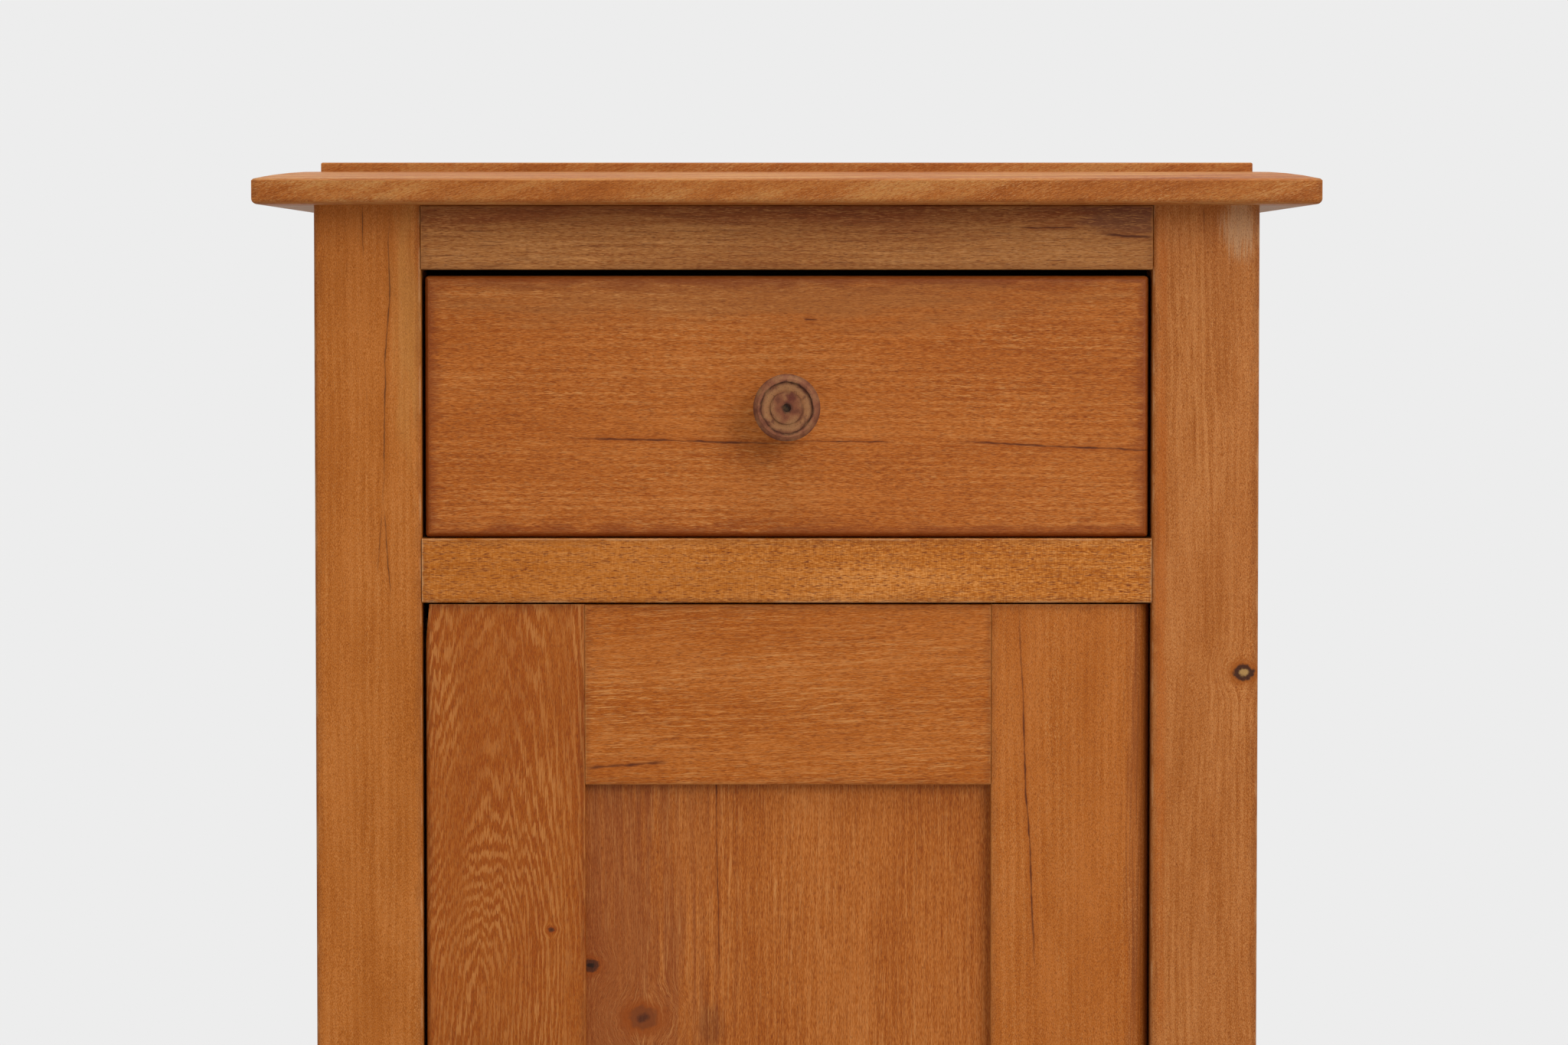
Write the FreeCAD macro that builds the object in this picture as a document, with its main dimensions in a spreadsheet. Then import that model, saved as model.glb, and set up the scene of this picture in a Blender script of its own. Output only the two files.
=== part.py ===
"""A bedside cabinet in elm: one drawer over a framed door, under a moulded top board.

Millimetres. +X is the cabinet's right as seen from the front, +Y its back and +Z up.
The origin is on the floor, under the middle of the top board.
"""

import FreeCAD, Part
import math
import os
from collections import defaultdict, namedtuple
from types import SimpleNamespace

import Sketcher

# Driving sizes, by the piece that they belong to
SIZES = {
    # The cabinet as a whole
    "overall_height": 750,
    "body_width": 411,
    "body_depth": 320,
    "foot_height": 75,
    "cut_overrun": 5,
    "fixed_fit": 0.05,
    "running_fit": 0.08,
    # Top board: blunt edge, thumbnail slope, small upright step, flat field
    "side_overhang": 24.5,
    "front_overhang": 25,
    "edge_height": 11,
    "edge_chamfer": 0.8,
    "thumbnail_width": 27.6,
    "thumbnail_rise": 3.5,
    "field_step": 4,
    "step_round": 0.8,
    "under_round": 2.5,
    # Posts, each with a stub tenon into the top board
    "post_width": 46.5,
    "post_depth": 40,
    "post_arris": 1.5,
    "stub_height": 9,
    "stub_margin": 11,
    # Rails across the front
    "top_rail_height": 28,
    "middle_rail_height": 28,
    "bottom_rail_height": 45,
    "rail_thickness": 24,
    "middle_rail_depth": 56,
    "rail_arris": 0.8,
    "tenon_length": 25,
    "tenon_setback": 8,
    "tenon_thickness": 8,
    "flat_tenon_depth": 22,
    "tenon_shoulder": 5,
    "mortise_slack": 1,
    # Framed sides
    "side_rail_height": 70,
    "side_rail_thickness": 22,
    "side_rail_setback": 1.5,
    "side_tenon_haunch": 11,
    "panel_thickness": 8,
    "panel_groove": 9,
    "panel_slack": 1,
    # Rails and boards at the back
    "rear_rail_thickness": 20,
    "rear_top_rail_height": 50,
    "back_thickness": 10,
    "back_rebate": 10,
    "back_board_count": 3,
    "tongue_length": 5,
    "tongue_thickness": 3.4,
    "nail_length": 24,
    "nail_width": 2.2,
    "nail_head_width": 5,
    "nail_head_thickness": 1.4,
    "nail_inset": 22,
    # Floor of the cupboard
    "floor_thickness": 14,
    "floor_slack": 0.5,
    "bearer_height": 18,
    "bearer_thickness": 18,
    # Drawer runners, guides, kickers and stops
    "runner_width": 14,
    "runner_height": 20,
    "kicker_height": 18,
    "guide_thickness": 18,
    "guide_rise": 20,
    "stub_tenon_length": 10,
    "stub_tenon_margin": 4,
    "drawer_stop_length": 24,
    "drawer_stop_depth": 16,
    "drawer_stop_height": 5,
    "drawer_stop_place": 80,
    # Drawer
    "drawer_opening_height": 117,
    "drawer_recess": 2.5,
    "drawer_side_gap": 1.5,
    "drawer_top_gap": 2.7,
    "drawer_bottom_gap": 0.5,
    "drawer_back_gap": 10,
    "drawer_front_thickness": 19,
    "drawer_front_round": 3,
    "drawer_corner_round": 2,
    "drawer_side_thickness": 11,
    "drawer_side_height": 104,
    "drawer_back_thickness": 10,
    "drawer_back_drop": 6,
    "dovetail_lap": 5,
    "front_tail_count": 3,
    "back_tail_count": 2,
    "drawer_bottom_thickness": 6,
    "drawer_bottom_inset": 9,
    "drawer_groove": 5,
    # Turned knobs
    "knob_radius": 14.5,
    "knob_projection": 23,
    "knob_rim_thickness": 4.6,
    "knob_rim_width": 3.2,
    "knob_rim_bevel": 1.9,
    "knob_dish_depth": 1.3,
    "knob_button_radius": 7,
    "knob_button_rise": 0.9,
    "knob_pit_radius": 1.8,
    "knob_pit_depth": 1.2,
    "knob_neck_radius": 7.6,
    "knob_neck_height": 7,
    "knob_shank_radius": 5,
    # Door
    "door_recess": 2,
    "door_thickness": 20,
    "door_latch_gap": 1.5,
    "door_hinge_gap": 0.4,
    "door_top_gap": 0.8,
    "door_bottom_gap": 1.5,
    "door_stile_width": 69.5,
    "door_top_rail_height": 79,
    "door_bottom_rail_height": 90,
    "door_edge_round": 2,
    "door_corner_relief": 1.6,
    "door_corner_relief_length": 17,
    "door_panel_recess": 6,
    "door_tenon_length": 40,
    "door_tenon_haunch": 12,
    "door_stop_width": 10,
    "door_stop_thickness": 12,
    "door_stop_length": 70,
    "door_stop_margin": 8,
    "door_stop_gap": 0.3,
    # Pivot pins of the door
    "pivot_inset": 10,
    "pivot_radius": 3,
    "pivot_depth": 14,
    "washer_radius": 7.5,
    # Turn latch behind the door knob
    "latch_clearance": 0.3,
    "latch_arm_thickness": 8,
    "latch_arm_width": 16,
    "latch_arm_reach": 45,
    "latch_arm_chamfer": 3,
    "latch_slot_clearance": 2,
    "latch_pin_radius": 1.4,
}

# Shares: width of a dovetail's wide end in its pitch, and its slope
TAIL_WIDTH_SHARE = 0.68
TAIL_SLOPE_SHARE = 0.16

SIDES = (("left", -1), ("right", 1))

document = FreeCAD.newDocument("bedside_cabinet")
sheet = document.addObject("Spreadsheet::Sheet", "sizes")
for row, (alias, number) in enumerate(SIZES.items(), 1):
    sheet.set(f"A{row}", alias)
    sheet.set(f"B{row}", str(number))
    sheet.setAlias(f"B{row}", alias)
document.recompute()


class Size:
    """A length with the expression on the sheet that gives it."""

    def __init__(self, value, text):
        self.value = float(value)
        self.text = text

    def __add__(self, other):
        other = as_size(other)
        return Size(self.value + other.value, f"({self.text} + {other.text})")

    def __sub__(self, other):
        other = as_size(other)
        return Size(self.value - other.value, f"({self.text} - {other.text})")

    def __mul__(self, other):
        other = as_size(other)
        return Size(self.value * other.value, f"({self.text} * {other.text})")

    def __truediv__(self, other):
        other = as_size(other)
        return Size(self.value / other.value, f"({self.text} / {other.text})")

    def __neg__(self):
        return Size(-self.value, f"(-{self.text})")


def as_size(number):
    return number if isinstance(number, Size) else Size(number, repr(number))


size = SimpleNamespace(**{alias: Size(sheet.get(alias), f"sizes.{alias}") for alias in SIZES})

# Arc from one corner of an outline to the next; a hollow one curves into the solid
Arc = namedtuple("Arc", "radius hollow", defaults=(False,))

# What each piece is made of and what is cut out of it
solids = defaultdict(list)
hollows = defaultdict(list)


def middle(low, high):
    return (low + high) / 2


def mirrored(sign, inner, outer):
    """The stretch of X between two distances from the middle plane, on one side of it."""
    return (as_size(inner), as_size(outer)) if sign > 0 else (-as_size(outer), -as_size(inner))


def box(name, xs, ys, zs):
    """A square block between three pairs of planes."""
    block = document.addObject("Part::Box", name)
    for side, (low, high) in zip(("Length", "Width", "Height"), (xs, ys, zs)):
        block.setExpression(side, (as_size(high) - as_size(low)).text)
    for axis, (low, _) in zip("xyz", (xs, ys, zs)):
        block.setExpression(f"Placement.Base.{axis}", as_size(low).text)
    return block


def rod(name, along, centre, start, end, radius):
    """A round rod along X, Y or Z; centre holds its two other coordinates, in that order."""
    shaft = document.addObject("Part::Cylinder", name)
    turns = {"X": ((0, 1, 0), 90), "Y": ((1, 0, 0), -90), "Z": ((0, 0, 1), 0)}
    axis, angle = turns[along]
    shaft.Placement.Rotation = FreeCAD.Rotation(FreeCAD.Vector(*axis), angle)
    places = dict(zip("XYZ".replace(along, ""), centre))
    places[along] = start
    for axis, place in places.items():
        shaft.setExpression(f"Placement.Base.{axis.lower()}", as_size(place).text)
    shaft.setExpression("Radius", radius.text)
    shaft.setExpression("Height", (end - start).text)
    return shaft


def arc_between(start, end, arc):
    """The drawn arc; on an anticlockwise outline a crown has its centre on the left of the way."""
    radius = arc.radius.value
    chord = end - start
    left = FreeCAD.Vector(-chord.y, chord.x, 0).normalize()
    rise = math.sqrt(max(radius ** 2 - (chord.Length / 2) ** 2, 0))
    centre = (start + end) / 2 + left * (-rise if arc.hollow else rise)
    first, last = (end, start) if arc.hollow else (start, end)
    angles = [math.atan2(point.y - centre.y, point.x - centre.x) for point in (first, last)]
    return Part.ArcOfCircle(Part.Circle(centre, FreeCAD.Vector(0, 0, 1), radius), *angles)


def sketch_outline(body, role, corners):
    """A closed outline on one of the body's planes, anticlockwise, each corner held by the sheet.

    A corner is (u, v), or (u, v, Arc) where an arc leads to the next corner.
    """
    sketch = body.newObject("Sketcher::SketchObject", f"{body.Name}_outline")
    plane = next(plane for plane in body.Origin.OriginFeatures if plane.Role == role)
    sketch.AttachmentSupport = [(plane, "")]
    sketch.MapMode = "FlatFace"
    corners = [(as_size(corner[0]), as_size(corner[1]), *corner[2:]) for corner in corners]
    points = [FreeCAD.Vector(corner[0].value, corner[1].value, 0) for corner in corners]
    following = [(index + 1) % len(corners) for index in range(len(corners))]
    tips = []
    for index, corner in enumerate(corners):
        run = points[index], points[following[index]]
        arc = corner[2] if len(corner) > 2 else None
        sketch.addGeometry(arc_between(*run, arc) if arc else Part.LineSegment(*run))
        tips.append((2, 1) if arc and arc.hollow else (1, 2))
    for index, after in enumerate(following):
        sketch.addConstraint(Sketcher.Constraint("Coincident", index, tips[index][1], after, tips[after][0]))
    for index, corner in enumerate(corners):
        for kind, axis, place in (("DistanceX", -2, corner[0]), ("DistanceY", -1, corner[1])):
            if place.value == 0:
                sketch.addConstraint(Sketcher.Constraint("PointOnObject", index, tips[index][0], axis))
            else:
                held = Sketcher.Constraint(kind, -1, 1, index, tips[index][0], place.value)
                sketch.setExpression(f"Constraints[{sketch.addConstraint(held)}]", place.text)
        if len(corner) > 2:
            held = Sketcher.Constraint("Radius", index, corner[2].radius.value)
            sketch.setExpression(f"Constraints[{sketch.addConstraint(held)}]", corner[2].radius.text)
    return sketch


def pad_outline(body, along, corners, thickness):
    """Wood between the body's own plane and a parallel one, with the outline's section."""
    role = {"X": "YZ_Plane", "Y": "XZ_Plane", "Z": "XY_Plane"}[along]
    sketch = sketch_outline(body, role, corners)
    pad = body.newObject("PartDesign::Pad", f"{body.Name}_pad")
    pad.Profile = sketch
    pad.Reversed = along == "Y"
    pad.setExpression("Length", thickness.text)
    return pad


def bar(name, along, corners, start, end):
    """A straight piece of one section; corners are (y, z), (x, z) or (x, y) for X, Y or Z."""
    body = document.addObject("PartDesign::Body", name)
    start = as_size(start)
    body.setExpression(f"Placement.Base.{along.lower()}", start.text)
    pad_outline(body, along, corners, end - start)
    return body


def eased(us, vs, *radii):
    """A rectangle with rounded corners: low-low, high-low, high-high, low-high; 0 leaves one sharp."""
    (u_low, u_high), (v_low, v_high) = us, vs
    turns = zip(
        ((u_low, v_low), (u_high, v_low), (u_high, v_high), (u_low, v_high)),
        ((0, 1), (-1, 0), (0, -1), (1, 0)),
        ((1, 0), (0, 1), (-1, 0), (0, -1)),
        radii,
    )
    outline = []
    for (u, v), before, after, radius in turns:
        if radius:
            outline.append((u + radius * before[0], v + radius * before[1], Arc(radius)))
            outline.append((u + radius * after[0], v + radius * after[1]))
        else:
            outline.append((u, v))
    return outline


def boolean(kind, name, members):
    joined = document.addObject(kind, name)
    joined.Shapes = members
    joined.Refine = True
    return joined


# Planes and levels that several pieces share
half_body = size.body_width / 2
half_opening = half_body - size.post_width
top_depth = size.body_depth + size.front_overhang
front_edge = -top_depth / 2
face = front_edge + size.front_overhang
rear = face + size.body_depth
top_thickness = size.edge_height + size.thumbnail_rise + size.field_step
underside = size.overall_height - top_thickness
drawer_head = underside - size.top_rail_height
drawer_sill = drawer_head - size.drawer_opening_height
door_head = drawer_sill - size.middle_rail_height
door_sill = size.foot_height + size.bottom_rail_height
rear_rail_back = rear - size.back_thickness
rear_rail_front = rear_rail_back - size.rear_rail_thickness
post_ys = {"front": (face, face + size.post_depth), "rear": (rear - size.post_depth, rear)}
opening = (-half_opening, half_opening)


def make_top_board():
    """The front profile and the end profile meet in a mitre at each corner of the moulding."""
    edge_top = underside + size.edge_height
    slope = size.thumbnail_width - size.edge_chamfer
    crown = Arc((slope * slope + size.thumbnail_rise * size.thumbnail_rise) / (size.thumbnail_rise * 2))
    field = size.overall_height
    half_top = half_body + size.side_overhang

    def moulding(edge, inward):
        """From the underside up to the field; inward is +1 or -1 along the section's first axis."""
        step = edge + size.thumbnail_width * inward
        return [
            (edge + size.under_round * inward, underside),
            (edge, underside + size.under_round),
            (edge, edge_top - size.edge_chamfer),
            (edge + size.edge_chamfer * inward, edge_top),
            (step, edge_top + size.thumbnail_rise),
            (step, field - size.step_round),
            (step + size.step_round * inward, field),
        ]

    arcs = {0: Arc(size.under_round), 3: crown, 5: Arc(size.step_round)}

    def curved(corners, lag):
        """The corners with their arcs; an outline that is walked backwards has each arc one corner later."""
        return [(*corner, arcs[k - lag]) if k - lag in arcs else corner for k, corner in enumerate(corners)]

    right = curved(moulding(half_top, -1), 0)
    left = curved(moulding(-half_top, 1), 1)
    front = curved(moulding(front_edge, 1), 1)
    ends = bar("top_board_ends", "Y", right + left[::-1], front_edge, rear)
    nose = bar("top_board_nose", "X", [(rear, underside), (rear, field)] + front[::-1], -half_top, half_top)
    solids["top_board"].append(boolean("Part::MultiCommon", "top_board_moulded", [ends, nose]))


def make_posts():
    arris = size.post_arris
    for end, ys in post_ys.items():
        for side, sign in SIDES:
            label = f"{end}_post_{side}"
            xs = mirrored(sign, half_opening, half_body)
            post = bar(f"{label}_blank", "Z", eased(xs, ys, arris, arris, arris, arris), 0, underside)
            stub_xs = (xs[0] + size.stub_margin, xs[1] - size.stub_margin)
            stub_ys = (ys[0] + size.stub_margin, ys[1] - size.stub_margin)
            stub = box(f"{label}_stub", stub_xs, stub_ys, (underside, underside + size.stub_height))
            solids[label] += [post, stub]
            hollows["top_board"].append(stub)
            hollows["floor_board"].append(box(f"{label}_notch", xs, ys, (size.foot_height, door_head)))


def make_cross_rail(label, end, ys, zs, tenon_ys, arris):
    """A rail from post to post, with a tenon at each end; only its front arrises are eased."""
    section = eased(ys, zs, arris, 0, 0, arris)
    solids[label].append(bar(f"{label}_blank", "X", section, *opening))
    tenon_zs = (zs[0] + size.tenon_shoulder, zs[1] - size.tenon_shoulder)
    tip = half_opening + size.tenon_length
    for side, sign in SIDES:
        tenon_xs = mirrored(sign, half_opening, tip)
        solids[label].append(box(f"{label}_tenon_{side}", tenon_xs, tenon_ys, tenon_zs))
        mortise = mirrored(sign, half_opening - size.cut_overrun, tip + size.mortise_slack)
        hollows[f"{end}_post_{side}"].append(box(f"{label}_mortise_{side}", mortise, tenon_ys, tenon_zs))


def make_front_rails():
    ys = (face, face + size.rail_thickness)
    flat_ys = (face, face + size.middle_rail_depth)
    tenon = face + size.tenon_setback
    tenon_ys = (tenon, tenon + size.tenon_thickness)
    flat_tenon_ys = (tenon, tenon + size.flat_tenon_depth)
    arris = size.rail_arris
    make_cross_rail("front_rail_top", "front", ys, (drawer_head, underside), tenon_ys, arris)
    make_cross_rail("front_rail_middle", "front", flat_ys, (door_head, drawer_sill), flat_tenon_ys, arris)
    make_cross_rail("front_rail_bottom", "front", ys, (size.foot_height, door_sill), tenon_ys, arris)


def make_rear_rails():
    ys = (rear_rail_front, rear_rail_back)
    tenon = rear_rail_front + (size.rear_rail_thickness - size.tenon_thickness) / 2
    tenon_ys = (tenon, tenon + size.tenon_thickness)
    top_zs = (underside - size.rear_top_rail_height, underside)
    make_cross_rail("rear_rail_top", "rear", ys, top_zs, tenon_ys, 0)
    make_cross_rail("rear_rail_middle", "rear", ys, (door_head, drawer_sill), tenon_ys, 0)
    make_cross_rail("rear_rail_bottom", "rear", ys, (size.foot_height, door_sill), tenon_ys, 0)


def make_side_frames():
    """Each side: two rails tenoned into the posts and a loose panel in the groove all round."""
    bottom_zs = (size.foot_height, size.foot_height + size.side_rail_height)
    top_zs = (underside - size.side_rail_height, underside)
    rail_outer = half_body - size.side_rail_setback
    rail_inner = rail_outer - size.side_rail_thickness
    panel_inner = rail_inner + (size.side_rail_thickness - size.panel_thickness) / 2
    panel_outer = panel_inner + size.panel_thickness
    between = (post_ys["front"][1], post_ys["rear"][0])
    groove = size.panel_groove
    edge = groove - size.panel_slack
    haunch = size.side_tenon_haunch
    arris = size.rail_arris
    over = size.cut_overrun
    for side, sign in SIDES:
        rail_xs = mirrored(sign, rail_inner, rail_outer)
        panel_xs = mirrored(sign, panel_inner, panel_outer)
        for level, zs in (("bottom", bottom_zs), ("top", top_zs)):
            label = f"side_rail_{level}_{side}"
            arrises = (0, arris, arris, 0) if sign > 0 else (arris, 0, 0, arris)
            solids[label].append(bar(f"{label}_blank", "Y", eased(rail_xs, zs, *arrises), *between))
            tenon_zs = (zs[0] + haunch, zs[1] - haunch)
            tenon_ys = (between[0] - size.tenon_length, between[1] + size.tenon_length)
            mortise_ys = (tenon_ys[0] - size.mortise_slack, tenon_ys[1] + size.mortise_slack)
            solids[label].append(box(f"{label}_tenons", panel_xs, tenon_ys, tenon_zs))
            for end in post_ys:
                mortise = box(f"{label}_mortise_{end}", panel_xs, mortise_ys, tenon_zs)
                hollows[f"{end}_post_{side}"].append(mortise)
        field = (bottom_zs[1], top_zs[0])
        groove_ys = (between[0] - groove, between[1] + groove)
        groove_zs = (field[0] - groove, field[1] + groove)
        for end in post_ys:
            channel = box(f"side_groove_{end}_{side}", panel_xs, groove_ys, groove_zs)
            hollows[f"{end}_post_{side}"].append(channel)
        for level in ("bottom", "top"):
            through = (between[0] - over, between[1] + over)
            hollows[f"side_rail_{level}_{side}"].append(
                box(f"side_groove_{level}_{side}", panel_xs, through, groove_zs))
        panel_ys = (between[0] - edge, between[1] + edge)
        panel_zs = (field[0] - edge, field[1] + edge)
        solids[f"side_panel_{side}"].append(box(f"side_panel_{side}_board", panel_xs, panel_ys, panel_zs))
    return rail_inner


def make_back():
    """Upright boards, tongued and grooved, nailed on to the rear rails in a rebate of the posts."""
    half_back = half_opening + size.back_rebate
    zs = (size.foot_height, underside)
    ys = (rear_rail_back, rear)
    for side, sign in SIDES:
        rebate = mirrored(sign, half_opening - size.cut_overrun, half_back)
        rebate_ys = (rear_rail_back, rear + size.cut_overrun)
        hollows[f"rear_post_{side}"].append(box(f"back_rebate_{side}", rebate, rebate_ys, zs))
    names = ("left", "centre", "right")
    pitch = half_back * 2 / size.back_board_count
    tongue = middle(*ys) - size.tongue_thickness / 2
    tongue_ys = (tongue, tongue + size.tongue_thickness)
    nail_levels = (
        middle(size.foot_height, door_sill),
        middle(door_head, drawer_sill),
        underside - size.rear_top_rail_height / 2,
    )
    for index, name in enumerate(names):
        label = f"back_board_{name}"
        start = pitch * index - half_back
        end = start + pitch
        solids[label].append(box(f"{label}_plank", (start, end), ys, zs))
        if index + 1 < len(names):
            tongue_xs = (end, end + size.tongue_length)
            solids[label].append(box(f"{label}_tongue", tongue_xs, tongue_ys, zs))
            groove_xs = (end - size.cut_overrun, end + size.tongue_length + size.panel_slack)
            hollows[f"back_board_{names[index + 1]}"].append(box(f"{label}_groove", groove_xs, tongue_ys, zs))
        for level in nail_levels:
            for place in (start + size.nail_inset, end - size.nail_inset):
                make_back_nail(place, level)


def make_back_nail(x, z):
    """A cut nail, square in the shank and in the head, driven flush."""
    for part, width, length in (
        ("shank", size.nail_width, size.nail_length),
        ("head", size.nail_head_width, size.nail_head_thickness),
    ):
        half = width / 2
        block = box(f"back_nail_{part}", (x - half, x + half), (rear - length, rear), (z - half, z + half))
        solids["back_nails"].append(block)


def make_floor(rail_inner):
    """The cupboard's floor lies on two bearers and is notched round the posts."""
    half_floor = rail_inner - size.floor_slack
    ys = (face + size.rail_thickness, rear_rail_front)
    zs = (door_sill - size.floor_thickness, door_sill)
    solids["floor_board"].append(box("floor_board_plank", (-half_floor, half_floor), ys, zs))
    bearer_zs = (zs[0] - size.bearer_height, zs[0])
    bearer_ys = (post_ys["front"][1], post_ys["rear"][0])
    for side, sign in SIDES:
        bearer_xs = mirrored(sign, rail_inner - size.bearer_thickness, rail_inner)
        strip = box(f"floor_bearer_{side}_strip", bearer_xs, bearer_ys, bearer_zs)
        solids[f"floor_bearer_{side}"].append(strip)


def make_drawer_ways():
    """Runners under the drawer's sides, guides beside them, kickers above, stops behind the front."""
    inner = half_opening - size.runner_width
    margin = size.stub_tenon_margin
    ways = (
        ("runner", "middle", face + size.middle_rail_depth, (drawer_sill - size.runner_height, drawer_sill)),
        ("kicker", "top", face + size.rail_thickness, (drawer_head, drawer_head + size.kicker_height)),
    )
    for side, sign in SIDES:
        xs = mirrored(sign, inner, half_opening)
        tenon_xs = (xs[0] + margin, xs[1] - margin)
        for kind, level, front, zs in ways:
            label = f"drawer_{kind}_{side}"
            tenon_ys = (front - size.stub_tenon_length, rear_rail_front + size.stub_tenon_length)
            mortise_ys = (tenon_ys[0] - size.mortise_slack, tenon_ys[1] + size.mortise_slack)
            tenon_zs = (zs[0] + margin, zs[1] - margin)
            solids[label].append(box(f"{label}_strip", xs, (front, rear_rail_front), zs))
            solids[label].append(box(f"{label}_tenons", tenon_xs, tenon_ys, tenon_zs))
            for end in ("front", "rear"):
                hollows[f"{end}_rail_{level}"].append(
                    box(f"{label}_mortise_{end}", tenon_xs, mortise_ys, tenon_zs))
        guide_xs = mirrored(sign, half_opening, half_opening + size.guide_thickness)
        guide_ys = (post_ys["front"][1], post_ys["rear"][0])
        guide_zs = (drawer_sill - size.runner_height, drawer_sill + size.guide_rise)
        solids[f"drawer_guide_{side}"].append(box(f"drawer_guide_{side}_strip", guide_xs, guide_ys, guide_zs))
        stop_xs = mirrored(sign, size.drawer_stop_place, size.drawer_stop_place + size.drawer_stop_length)
        stop = face + size.drawer_recess + size.drawer_front_thickness
        stop_ys = (stop, stop + size.drawer_stop_depth)
        stop_zs = (drawer_sill, drawer_sill + size.drawer_stop_height)
        solids["drawer_stops"].append(box(f"drawer_stop_{side}", stop_xs, stop_ys, stop_zs))


def add_tails(body, root, tip, low, pitch, count, thickness):
    """A row of dovetails from the plank's end to their wide tips, one in each pitch of its height."""
    length = tip - root if tip.value > root.value else root - tip
    wide = pitch * TAIL_WIDTH_SHARE / 2
    narrow = wide - length * TAIL_SLOPE_SHARE
    centre = low + pitch / 2
    tail = [(root, centre + narrow), (tip, centre + wide), (tip, centre - wide), (root, centre - narrow)]
    pad = pad_outline(body, "X", tail if tip.value < root.value else tail[::-1], thickness)
    document.recompute()
    row = body.newObject("PartDesign::LinearPattern", f"{body.Name}_tails")
    row.Originals = [pad]
    row.Direction = (pad.Profile[0], ["V_Axis"])
    row.setExpression("Length", (pitch * (count - 1)).text)
    row.setExpression("Occurrences", count.text)
    body.Tip = row
    document.recompute()


def make_drawer():
    """Half-blind dovetails at the front, through dovetails at the back, a bottom board in grooves."""
    outer = half_opening - size.drawer_side_gap
    inner = outer - size.drawer_side_thickness
    front = face + size.drawer_recess
    inside = front + size.drawer_front_thickness
    back = rear_rail_front - size.drawer_back_gap
    back_inside = back - size.drawer_back_thickness
    side_top = drawer_sill + size.drawer_side_height
    board_low = drawer_sill + size.drawer_bottom_inset
    board_high = board_low + size.drawer_bottom_thickness
    back_zs = (board_high, side_top - size.drawer_back_drop)
    groove = size.drawer_groove
    edge = groove - size.fixed_fit

    front_xs = (-outer, outer)
    front_ys = (front, inside)
    front_zs = (drawer_sill + size.drawer_bottom_gap, drawer_head - size.drawer_top_gap)
    roll = size.drawer_front_round
    corner = size.drawer_corner_round
    rounded = [
        bar("drawer_front_rolled", "X", eased(front_ys, front_zs, roll, 0, 0, roll), *front_xs),
        bar("drawer_front_ended", "Z", eased(front_xs, front_ys, roll, roll, 0, 0), *front_zs),
        bar("drawer_front_cornered", "Y", eased(front_xs, front_zs, corner, corner, corner, corner), *front_ys),
    ]
    solids["drawer_front"].append(boolean("Part::MultiCommon", "drawer_front_blank", rounded))
    solids["drawer_back"].append(box("drawer_back_plank", (-outer, outer), (back_inside, back), back_zs))
    for side, sign in SIDES:
        label = f"drawer_side_{side}"
        xs = mirrored(sign, inner, outer)
        plank = eased((inside, back_inside), (drawer_sill, side_top), 0, 0, 0, 0)
        body = bar(f"{label}_tailed", "X", plank, *xs)
        front_pitch = size.drawer_side_height / size.front_tail_count
        back_pitch = (back_zs[1] - back_zs[0]) / size.back_tail_count
        thickness = size.drawer_side_thickness
        lap = front + size.dovetail_lap
        add_tails(body, inside, lap, drawer_sill, front_pitch, size.front_tail_count, thickness)
        add_tails(body, back_inside, back, back_zs[0], back_pitch, size.back_tail_count, thickness)
        solids[label].append(body)
        hollows["drawer_front"].append(body)
        hollows["drawer_back"].append(body)
        groove_xs = mirrored(sign, inner - size.cut_overrun, inner + groove)
        groove_ys = (inside - groove, back + size.cut_overrun)
        hollows[label].append(box(f"{label}_groove", groove_xs, groove_ys, (board_low, board_high)))
    board_xs = (-(inner + edge), inner + edge)
    solids["drawer_bottom"].append(
        box("drawer_bottom_board", board_xs, (inside - edge, back), (board_low, board_high)))
    groove_xs = (-(inner + groove), inner + groove)
    groove_ys = (inside - groove, inside + size.cut_overrun)
    hollows["drawer_front"].append(box("drawer_front_groove", groove_xs, groove_ys, (board_low, board_high)))

    knob_z = middle(*front_zs)
    make_knob("drawer_knob", 0, knob_z, front, inside)
    bore = size.knob_shank_radius + size.fixed_fit
    over = size.cut_overrun
    knob_bore = rod("drawer_knob_bore", "Y", (0, knob_z), front - over, inside + over, bore)
    hollows["drawer_front"].append(knob_bore)


def make_knob(label, x, z, seat, shank_end):
    """Turned about its own axis along Y: dished face with a button, bevelled rim, tapered neck, shank."""
    rim = seat - size.knob_projection
    rim_back = rim + size.knob_rim_thickness
    rim_inner = size.knob_radius - size.knob_rim_width
    rim_outer = size.knob_radius - size.knob_rim_bevel
    dish = rim + size.knob_dish_depth
    button = dish - size.knob_button_rise
    pit = button + size.knob_pit_depth
    section = [
        (0, pit),
        (size.knob_pit_radius, pit),
        (size.knob_pit_radius, button),
        (size.knob_button_radius, button),
        (size.knob_button_radius, dish),
        (rim_inner, dish),
        (rim_inner, rim),
        (rim_outer, rim),
        (size.knob_radius, rim + size.knob_rim_bevel),
        (size.knob_radius, rim_back),
        (size.knob_neck_radius, seat - size.knob_neck_height),
        (size.knob_neck_radius, seat),
        (size.knob_shank_radius, seat),
        (size.knob_shank_radius, shank_end),
        (0, shank_end),
    ]
    body = document.addObject("PartDesign::Body", f"{label}_turned")
    body.setExpression("Placement.Base.x", as_size(x).text)
    body.setExpression("Placement.Base.z", z.text)
    turned = body.newObject("PartDesign::Revolution", f"{label}_turning")
    turned.Profile = sketch_outline(body, "XY_Plane", section)
    turned.ReferenceAxis = (turned.Profile[0], ["V_Axis"])
    turned.Angle = 360
    solids[label].append(body)


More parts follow.
